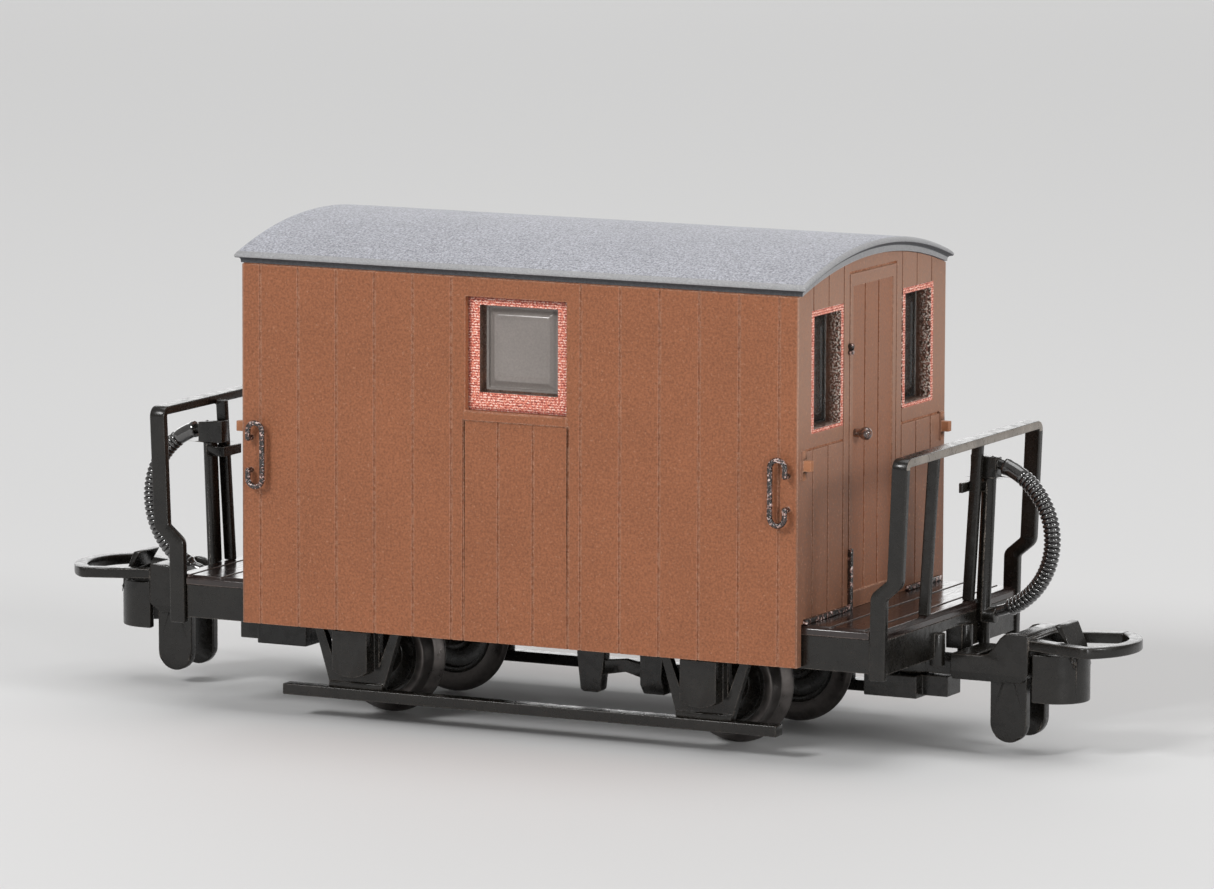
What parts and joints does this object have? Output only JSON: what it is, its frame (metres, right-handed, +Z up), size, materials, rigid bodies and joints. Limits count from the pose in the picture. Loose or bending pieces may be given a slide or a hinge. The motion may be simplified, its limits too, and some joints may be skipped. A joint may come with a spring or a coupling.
{
  "type": "model passenger coach",
  "caption": "Narrow-gauge four-wheel model coach with a planked brown body, grey arched roof, red-framed windows, open end platforms with railings, and loop couplings.",
  "frame": {"origin": "centre of the coach in plan, at the bottom of the wheel flanges", "axes": "+X along the track towards the right end, +Y towards the far side, +Z up"},
  "size_m": [0.0688, 0.0214, 0.0291],
  "materials": {
    "roof_grey": "matte, finely speckled",
    "body_brown": "matte",
    "frame_red": "printed, matte",
    "clear_glazing": "clear",
    "wire_black": "glossy",
    "handle_brown": "satin",
    "gloss_black": "glossy",
    "deck_brown": "satin, wood grain",
    "hose_black": "satin",
    "bare_steel": "turned",
    "wheel_metal": "blackened, tread worn bright",
    "underframe_black": "satin"
  },
  "bodies": {
    "coach": {"roof": "roof_grey", "body_shell": "body_brown", "side_window_frame_near": "frame_red", "side_window_frame_far": "frame_red", "end_window_frame_right_near": "frame_red", "end_window_frame_right_far": "frame_red", "end_window_frame_left_near": "frame_red", "end_window_frame_left_far": "frame_red", "side_glazing_near": "clear_glazing", "side_glazing_far": "clear_glazing", "end_glazing_right_near": "clear_glazing", "end_glazing_right_far": "clear_glazing", "end_glazing_left_near": "clear_glazing", "end_glazing_left_far": "clear_glazing", "handrail_near_right": "wire_black", "handrail_near_left": "wire_black", "handrail_far_right": "wire_black", "handrail_far_left": "wire_black", "door_handle_right": "handle_brown", "door_handle_left": "handle_brown", "door_catch_right": "gloss_black", "door_catch_left": "gloss_black", "end_beading_right": "gloss_black", "end_beading_left": "gloss_black", "underframe": "underframe_black", "side_frame_near": "underframe_black", "side_frame_far": "underframe_black", "footboard_near": "underframe_black", "footboard_far": "underframe_black", "brake_gear": "underframe_black", "platform_deck_right": "deck_brown", "platform_deck_left": "deck_brown", "end_railing_right": "underframe_black", "end_railing_left": "underframe_black", "standpipe_right": "underframe_black", "standpipe_left": "underframe_black", "brake_hose_right": "hose_black", "brake_hose_left": "hose_black", "ballast_weight": "bare_steel", "coupling_keeper_right": "underframe_black", "coupling_keeper_left": "underframe_black", "keeper_screw_right": "bare_steel", "keeper_screw_left": "bare_steel"},
    "wheelset_right": {"axle_right": "bare_steel", "wheel_centre_right_near": "underframe_black", "wheel_centre_right_far": "underframe_black", "wheel_tyre_right_near": "wheel_metal", "wheel_tyre_right_far": "wheel_metal"},
    "coupling_right": {"coupling_arm_right": "underframe_black", "coupling_pin_right": "bare_steel"},
    "hook_right": {"coupling_hook_right": "underframe_black"},
    "wheelset_left": {"axle_left": "bare_steel", "wheel_centre_left_near": "underframe_black", "wheel_centre_left_far": "underframe_black", "wheel_tyre_left_near": "wheel_metal", "wheel_tyre_left_far": "wheel_metal"},
    "coupling_left": {"coupling_arm_left": "underframe_black", "coupling_pin_left": "bare_steel"},
    "hook_left": {"coupling_hook_left": "underframe_black"}
  },
  "joints": [
    {"name": "wheelset_right_spin", "type": "hinge", "parent": "coach", "child": "wheelset_right", "pos_m": [0.01125, 0, 0.0036], "axis": [0, 1, 0], "continuous": true},
    {"name": "wheelset_left_spin", "type": "hinge", "parent": "coach", "child": "wheelset_left", "pos_m": [-0.01125, 0, 0.0036], "axis": [0, 1, 0], "continuous": true},
    {"name": "coupling_right_swing", "type": "hinge", "parent": "coach", "child": "coupling_right", "pos_m": [0.0206, 0, 0.0048], "axis": [0, 0, 1], "range_deg": [-8, 8]},
    {"name": "coupling_left_swing", "type": "hinge", "parent": "coach", "child": "coupling_left", "pos_m": [-0.0206, 0, 0.0048], "axis": [0, 0, 1], "range_deg": [-8, 8]},
    {"name": "hook_right_tilt", "type": "hinge", "parent": "coupling_right", "child": "hook_right", "pos_m": [0.0272, 0, 0.0053], "axis": [0, 1, 0], "range_deg": [0, 20]},
    {"name": "hook_left_tilt", "type": "hinge", "parent": "coupling_left", "child": "hook_left", "pos_m": [-0.0272, 0, 0.0053], "axis": [0, -1, 0], "range_deg": [0, 20]}
  ]
}
